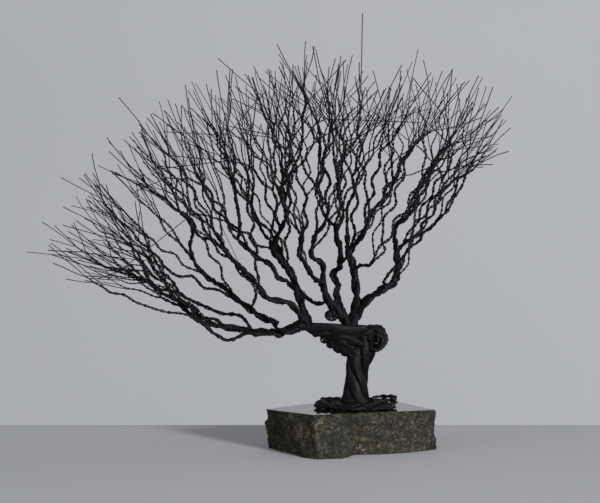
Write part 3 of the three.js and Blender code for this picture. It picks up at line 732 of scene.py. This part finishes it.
def lay_ply(ply, centre, k, bundle, step, floor, places):
    if isinstance(ply, Bundle):
        if 0 <= ply.leaves < k:
            return
        if k == ply.leaves:
            ply.offset = centre
        if ply.twist:
            lay_ply(ply.twist, centre, -1, bundle, step, floor, places)
        else:
            places.append((ply, centre))
        return
    total = still_laid(ply, k, bundle)
    ply.phase += 2 * math.pi * step / max(TURNS_PER_WIDTH * bundle_width(total), floor)
    lumpiness = 1 + 0.7 * smooth((total - 4) / 40)
    for half, sign in zip(ply.plies, (1, -1)):
        kept = still_laid(half, k, bundle)
        if kept > 0.02:
            out = sign * lumpiness * (bundle_width(total) - bundle_width(kept)) / 2
            lay_ply(half, centre + out * across(ply.phase), k, bundle, step, floor, places)


def across(phase):
    return Vector((math.cos(phase), math.sin(phase)))


def lay_bundle(bundle, tangent, side, drift):
    """Lays a bundle's wires along its path, then goes on with the bundles that leave it."""
    path = bundle.path
    bundle.reach = [0.0]
    for here, there in zip(path, path[1:]):
        bundle.reach.append(bundle.reach[-1] + (there - here).length)
    turn_in = 2.0 + bundle_width(bundle.wires)
    fade = LEAVE_FADE + 2.5 * drift.length
    for k, point in enumerate(path):
        step = bundle.reach[k] - bundle.reach[max(k - 1, 0)]
        share = smooth(bundle.reach[k] / turn_in)
        facing = tangent.lerp(heading(path, k), share).normalized()
        side = (side - facing * side.dot(facing)).normalized()
        over = facing.cross(side)
        shift = point + drift * (1 - smooth(bundle.reach[k] / fade))
        places = []
        if bundle.twist:
            width = bundle_width(still_laid(bundle.twist, k, bundle))
            lay_ply(bundle.twist, Vector((0, 0)), k, bundle, step, 0.35 * TURNS_PER_WIDTH * width, places)
        else:
            places.append((bundle, Vector((0, 0))))
        for wire, place in places:
            if k or not wire.line:
                wire.line.append(shift + side * place.x + over * place.y)
        for part in bundle.parts:
            if part.leaves == k:
                spot = shift + side * part.offset.x + over * part.offset.y
                part.start = (facing, side, spot - part.path[0])
    for part in bundle.parts:
        lay_bundle(part, *part.start)


def all_wires(bundle):
    if not bundle.parts:
        return [bundle]
    return [wire for part in bundle.parts for wire in all_wires(part)]


for top in tops.values():
    first = heading(top.path, 0)
    lay_bundle(top, first, Vector((0.31, 1, 0.17)), Vector())
lengths = [sum((b - a).length for a, b in zip(wire.line, wire.line[1:]))
           for top in tops.values() for wire in all_wires(top)]
points = sum(len(wire.line) for top in tops.values() for wire in all_wires(top))
print(len(lengths), "wires,", points, "points,", round(sum(lengths) / 1000, 1), "m of wire")

# %% [markdown]
# Annealed iron wire is near black with a soft bluish sheen, and handling leaves it a little
# duller or shinier from place to place. Noise at the scale of a few wires varies the roughness,
# and finer noise along with it gives the oxide skin its slight unevenness.

# %% Black wire
iron = Paint("black_wire", Metallic=0.35, Specular_IOR_Level=0.13)
handling = iron.noise(60.0, 3.0, 0.6)
skin = iron.noise(900.0, 2.0, 0.5)
iron.feed("Base Color", iron.ramp(handling * 0.7 + skin * 0.3, [(0.3, (0.0028, 0.0029, 0.0034)),
          (0.7, (0.0066, 0.0070, 0.0082))]))
iron.feed("Roughness", 0.28 + 0.22 * handling + 0.06 * skin)

# %% [markdown]
# Each wire is a poly curve with a bevel, which is how Blender models wire best: the curve holds the
# centre line, and the bevel gives it its thickness with closed ends. Four sides are enough for half
# a millimetre, and a square bevel is a tenth deeper to look as wide as the round wire. The curves
# of one limb become one mesh, so that it can be shaded, counted and exported as a single piece.

# %% Wires into pieces
SQUARE_BEVEL = 1.1


def wires_mesh(name, lines):
    curve = bpy.data.curves.new(name, "CURVE")
    curve.dimensions = "3D"
    curve.bevel_depth = SQUARE_BEVEL * WIRE / 2
    curve.bevel_resolution = 0
    curve.use_fill_caps = True
    for line in lines:
        spline = curve.splines.new("POLY")
        spline.points.add(len(line) - 1)
        for point, place in zip(spline.points, line):
            point.co = (*place, 1)
    holder = bpy.data.objects.new(name, curve)
    mesh = bpy.data.meshes.new_from_object(holder)
    bpy.data.objects.remove(holder)
    bpy.data.curves.remove(curve)
    mesh.name = name
    return mesh


def family(name):
    """The name of a limb and of every limb that grows from it."""
    return [name] + [inner for child in by_name[name].children for inner in family(child[1].name)]


def finish_wires(name, lines, nodes):
    return finish_piece(name, wires_mesh(name, lines), iron, nodes)


for name, top in tops.items():
    finish_wires(name + "_wires", [wire.line for wire in all_wires(top)], family(name))

# %% [markdown]
# Below the limbs the wires are too many to follow one by one, and only the outer ones show. There
# a strand is one layer of wires laid side by side round its own path, and a rope is a few such
# strands laid round a common path. A frame is carried along each path without turning, so the only
# twist is the one that the pitch asks for.

# %% Strands and ropes
def carried_frames(path):
    """Two directions across the path at each sample, carried along without turning."""
    side, frames = Vector((0.31, 1, 0.17)), []
    for k in range(len(path)):
        facing = heading(path, k)
        side = (side - facing * side.dot(facing)).normalized()
        frames.append((side, facing.cross(side)))
    return frames


def layer(path, radii, count, pitch, phase=0.0):
    """Lines side by side round a path, which make one turn in each pitch."""
    lines, run = [[] for _ in range(count)], 0.0
    for k, (side, over) in enumerate(carried_frames(path)):
        run += (path[k] - path[max(k - 1, 0)]).length
        for i, line in enumerate(lines):
            angle = phase + 2 * math.pi * (i / count + run / pitch)
            line.append(path[k] + radii[k] * (side * math.cos(angle) + over * math.sin(angle)))
    return lines


def strand(path, radii, pitch, phase=0.0):
    """The outer wires of one strand: as many as lie side by side where it is thickest."""
    count = max(4, int(2 * math.pi * (max(radii) - WIRE / 2) / WIRE))
    return layer(path, [max(radius - WIRE / 2, 0.1) for radius in radii], count, pitch, phase)


def rope(path, radii, strands, pitch, share, phase=0.0):
    """Strands round a path. Each is as thick as that share of the rope."""
    ways = layer(path, [radius * (1 - share) for radius in radii], strands, pitch, phase)
    thick = [radius * share for radius in radii]
    return [wire for way in ways for wire in strand(way, thick, 0.9 * pitch)]


def along(stations, step=1.6):
    """Samples and radii along stations of x, y, z and radius."""
    path, marks = sample_path([Vector(station[:3]) for station in stations], step)
    radii = []
    for first, last, here, there in zip(marks, marks[1:], stations, stations[1:]):
        radii += [here[3] + (there[3] - here[3]) * (k - first) / (last - first) for k in range(first, last)]
    return path, radii + [stations[-1][3]]


def on_the_stone(lines):
    """Keeps wires from sinking into the block's top."""
    lowest = BLOCK_HEIGHT + WIRE
    return [[Vector((place.x, place.y, max(place.z, lowest))) for place in line] for line in lines]


print("a strand 4 mm thick shows", int(2 * math.pi * (2 - WIRE / 2) / WIRE), "wires")

# %% [markdown]
# The trunk is five thick strands laid round each other. They run down from the upper left to the
# lower right at the front and splay into a flared foot on the stone, so the rope's radius grows
# downwards and the pitch is negative.

# %% Trunk
TRUNK = [(-1, 0, 30.8, 12.5), (-1, 0, 33, 11), (-1, 0, 38, 9.6), (0, 0, 46, 8.4), (0, 0, 55, 8.1),
         (2, 0, 63, 8.9), (5, 0, 70, 8.7), (7, 0, 76, 7.4)]
trunk_path, trunk_radii = along(TRUNK)
finish_wires("trunk_wires", on_the_stone(rope(trunk_path, trunk_radii, 5, -78, 0.41, 0.5)), ["trunk"])

# %% [markdown]
# At its top the trunk bends over to the left. One long strand runs straight on into the lowest
# limb, and four shorter ones come up from the trunk beneath it. Each of them ends where its wires
# have slipped in among the others, which gives the shoulder its stepped underside.

# %% Shoulder
SHOULDER_STRANDS = [
    [(15, 0, 80, 5), (6, -1, 82, 5.7), (-6, -1, 82.4, 5.8), (-16, -2, 83.8, 5.3), (-25, -2, 85.2, 4.3),
     (-39, -3, 87.4, 2.4)],
    [(9, -3, 68, 3.4), (1, -5, 76, 3.9), (-10, -5, 79, 3.8), (-22, -4, 81.2, 3.4), (-33, -3, 84.4, 2.4),
     (-41, -3, 87, 1)],
    [(3, 3, 60, 3.6), (-4, 2, 70, 3.8), (-12, 0, 76, 3.8), (-21, -1, 79.6, 3.2), (-28, -2, 82.2, 1.2)],
    [(5, -3, 60, 3.4), (-2, -4, 70, 3.9), (-10, -4, 74.5, 3.8), (-17.5, -3, 76.6, 3.2), (-23, -2, 79, 1)],
    [(2, -1, 56, 3.4), (-4, -3, 66, 3.8), (-10, -3, 71.3, 3.6), (-14.5, -2, 72.6, 2.8), (-18, -2, 75.5, 0.8)],
    [(6, 4, 64, 4), (0, 5, 74, 4.6), (-10, 4, 79, 4.4), (-22, 1, 82.5, 3.2), (-32, -1, 85, 1.4)],
]
shoulder_lines = strand(*along(SHOULDER_STRANDS[0]), -70)
for i, stations in enumerate(SHOULDER_STRANDS[1:]):
    shoulder_lines += rope(*along(stations), 2, -26 - 4 * i, 0.56, i)
KNUCKLES = [(-8, -3, 70, 4), (-13, -3, 72, 3.8), (-18, -3, 74.6, 3.4), (-23, -2, 77.8, 3),
            (-29, -2, 81.6, 2.4)]

# %% [markdown]
# Each strand under the shoulder ends in a knuckle, where its wires are wound over and tucked in.
# One wire wound over a ball from pole to pole makes such a knuckle, and larger balls fill the
# middle of the knot and make the knob at the crown's foot.

# %% Knuckles of wound wire
def wound_ball(centre, radius):
    """One wire wound over a lumpy ball from pole to pole, turn beside turn."""
    turns = int(2 * radius / WIRE)
    steps = 14 * turns
    line = []
    for k in range(steps + 1):
        tilt, turn = math.pi * k / steps, 2 * math.pi * turns * k / steps
        swell = 1 + 0.14 * math.sin(4 * tilt + centre[0]) * math.cos(2 * turn + centre[2])
        out = Vector((math.sin(tilt) * math.cos(turn), math.cos(tilt), math.sin(tilt) * math.sin(turn)))
        line.append(Vector(centre) + swell * (radius - WIRE / 2) * out)
    return line


shoulder_lines += [wound_ball(knuckle[:3], knuckle[3]) for knuckle in KNUCKLES]
finish_wires("shoulder_wires", shoulder_lines, ["shoulder"])

# %% [markdown]
# The other part of the trunk is wound up into a round knot right of the shoulder. A thick rope of
# two strands winds a few turns from back to front round a level axis and then turns in over the
# front, over a ball of the same wires that closes the middle.

# %% Knot
KNOT_MIDDLE = (12, 0, 78.3)
KNOT_RADIUS, KNOT_STRAND, KNOT_TURNS = 7.3, 3.0, 3.8
KNOT_BACK, KNOT_PITCH = 4.6, 3.3        # where the coil starts, and how far each turn comes forward
coil, coil_radii = [], []
samples = int(22 * KNOT_TURNS)
for k in range(samples + 1):
    turn = KNOT_TURNS * k / samples
    inward = smooth((turn - 3) / 1.1)
    out = KNOT_RADIUS * (1 - 0.5 * inward) + 0.6 * math.sin(4.3 * turn)
    angle = 2 * math.pi * turn + 2.4
    depth = KNOT_BACK - KNOT_PITCH * turn + 1.6 * inward
    coil.append(Vector(KNOT_MIDDLE) + Vector((out * math.cos(angle), depth, out * math.sin(angle))))
    coil_radii.append(KNOT_STRAND * (1 - 0.35 * inward))
knot_lines = rope(coil, coil_radii, 2, 17, 0.56) + [wound_ball(KNOT_MIDDLE, 7.6)]
finish_wires("knot_wires", knot_lines, ["knot_coil"])

# %% [markdown]
# The crown stem rises out of the shoulder and forks into a thick rope to the right and a shorter
# one to the left, with a wound knob in the crook. From here the lower stretch of each big limb is
# wrapped in two more strands, which taper as their wires join the limb.

# %% Crown stem
STEM_RIGHT = [(-4, 0, 83, 4.7), (-3, 0, 90, 4.6), (-1, 0, 98, 4.2), (0, 0, 105, 3.4)]
STEM_LEFT = [(-4, 0, 86, 4.2), (-9, -1, 93, 4.3), (-15, -2, 100, 3.7), (-20, -5, 105, 2.8)]
KNOB_STALK = [(-9, -1, 93, 2.6), (-13, -2, 95.5, 2.8), (-17.6, -2, 94.8, 2.6)]
KNOB_MIDDLE, KNOB_RADIUS = (-17.8, -2, 94.6), 4.5
# Each wrapped limb: how many of its samples are wrapped, and the wrap's radius at either end.
WRAPS = {"main_limb": (21, 4.0, 2.0), "right_limb": (20, 3.3, 1.6), "centre_limb": (18, 3.4, 1.8),
         "back_limb": (14, 2.9, 1.5), "left_limb": (17, 3.0, 1.7), "heart_limb": (18, 3.1, 1.8),
         "low_limb": (16, 3.2, 2.2)}


def wrapped(name, samples, first, last):
    way = by_name[name].path[:samples]
    radii = [first + (last - first) * k / (len(way) - 1) for k in range(len(way))]
    radii[-1] = 0.4
    fine_way = [here.lerp(there, t) for here, there in zip(way, way[1:]) for t in (0, 0.5)]
    fine_radii = [here + (there - here) * t for here, there in zip(radii, radii[1:]) for t in (0, 0.5)]
    return rope(fine_way, fine_radii, 2, 24, 0.42, len(name))


stem_lines = rope(*along(STEM_RIGHT), 3, 30, 0.5) + rope(*along(STEM_LEFT), 3, 26, 0.5)
stem_lines += rope(*along(KNOB_STALK), 2, 14, 0.55) + [wound_ball(KNOB_MIDDLE, KNOB_RADIUS)]
for name, wrap in WRAPS.items():
    stem_lines += wrapped(name, *wrap)
finish_wires("stem_wires", stem_lines, ["crown_stem"])

# %% [markdown]
# The roots are closed loops that were drawn out of the trunk's foot, twisted and pressed flat onto
# the stone, some lying over others. Each loop is two strands laid round an oval path, and whole
# numbers of turns let every loop close on itself.

# %% Roots
ROOT_LOOPS = [(-15, -3, 14, 11, 15, 0), (-12, 11, 14, 7, -25, 1.5), (9, -11, 17, 10, -12, 0),
              (15, 7, 13, 9, 20, 3), (-3, -15, 15, 8, 5, 0), (-19, 1, 10, 8, 42, 1.2),
              (3, 3, 15, 9, -38, 2.4), (18, -4, 10, 8, 32, 2.0), (-9, -9, 13, 9, -28, 1.6),
              (2, -9, 19, 7, 9, 2.8), (11, -14, 13, 5, -4, 1.2)]
ROOT_THICKNESS = 1.5


def root_way(x, y, long, wide, bearing, rise):
    """Samples round one loop. Its far end lies higher by the rise."""
    turn, samples = math.radians(bearing), int((long + wide) * 1.7)
    way = []
    for k in range(samples + 1):
        angle = 2 * math.pi * k / samples
        wavy = 1 + 0.05 * math.sin(5 * angle + x)
        ahead, aside = long * wavy * math.cos(angle), wide * wavy * math.sin(angle)
        lift = rise * (0.5 + 0.5 * math.cos(angle)) + 0.5 * math.sin(3 * angle + y) ** 2
        way.append(Vector((x + ahead * math.cos(turn) - aside * math.sin(turn),
                           y + ahead * math.sin(turn) + aside * math.cos(turn),
                           BLOCK_HEIGHT + ROOT_THICKNESS + 0.3 + lift)))
    return way


root_lines = []
for i, loop in enumerate(ROOT_LOOPS):
    way = root_way(*loop)
    length = sum((there - here).length for here, there in zip(way, way[1:]))
    radii = [ROOT_THICKNESS * (1 + 0.18 * math.sin(0.9 * k + i)) for k in range(len(way))]
    root_lines += rope(way, radii, 2, length / round(length / 11), 0.55, i)
finish_wires("root_wires", on_the_stone(root_lines), ["root_loops"])

# %% [markdown]
# The tree stands on a plain pale table whose far edge shows just behind it, well in front of a
# plain wall.

# %% Table and wall
TABLE_BACK = 0.094


def stage_slab(name, low, high, paint):
    """A plain box between two corners that isn't part of the object."""
    slab = bmesh.new()
    bmesh.ops.create_cube(slab, size=1.0)
    size = Vector(high) - Vector(low)
    bmesh.ops.scale(slab, verts=slab.verts, vec=size)
    bmesh.ops.translate(slab, verts=slab.verts, vec=Vector(low) + size / 2)
    mesh = bpy.data.meshes.new(name)
    slab.to_mesh(mesh)
    slab.free()
    mesh.materials.append(paint.material)
    holder = bpy.data.objects.new(name, mesh)
    bpy.context.scene.collection.objects.link(holder)


table = Paint("pale_table", Roughness=0.95, Specular_IOR_Level=0.02)
table.feed("Base Color", table.ramp(table.noise(3.0, 3.0), [(0.3, (0.325, 0.33, 0.345)),
                                                           (0.7, (0.345, 0.35, 0.365))]))
stage_slab("table", (-0.9, -0.9, -0.02), (0.9, TABLE_BACK, 0), table)
wall = Paint("pale_wall", Roughness=0.9, Specular_IOR_Level=0.1)
wall.feed("Base Color", wall.ramp(wall.noise(2.0), [(0.3, (0.325, 0.33, 0.34)),
                                                    (0.7, (0.335, 0.34, 0.35))]))
stage_slab("wall", (-8, 2.4, -3), (8, 2.45, 5), wall)
print("the table's far edge is", round(TABLE_BACK / MM), "mm behind the trunk")

# %% [markdown]
# The main light is soft and comes from the front right, low over the table, so the stone's front
# is lit, its left side is dark and its shadow falls to the left and back. A weak light on the left
# gives the faint second shadow, and an even pale world fills the rest.

# %% Lights
def soft_light(name, place, size, watts):
    data = bpy.data.lights.new(name, "AREA")
    data.shape, data.size, data.energy = "DISK", size, watts
    light = bpy.data.objects.new(name, data)
    bpy.context.scene.collection.objects.link(light)
    light.location = place
    light.rotation_euler = (Vector(place) - Vector((0, 0, 0.08))).to_track_quat("Z", "Y").to_euler()


KEY_WATTS, FILL_WATTS, WORLD_STRENGTH = 340, 4, 0.6
soft_light("key", (2.8, -3.2, 1.04), 0.8, KEY_WATTS)
soft_light("left_fill", (-1.8, -0.9, 0.7), 0.5, FILL_WATTS)
world = bpy.data.worlds.new("studio")
bpy.context.scene.world = world
world.use_nodes = True
world.node_tree.nodes["Background"].inputs["Color"].default_value = (0.95, 0.97, 1.0, 1)
world.node_tree.nodes["Background"].inputs["Strength"].default_value = WORLD_STRENGTH
print("lights:", KEY_WATTS, "and", FILL_WATTS, "watts, world", WORLD_STRENGTH)
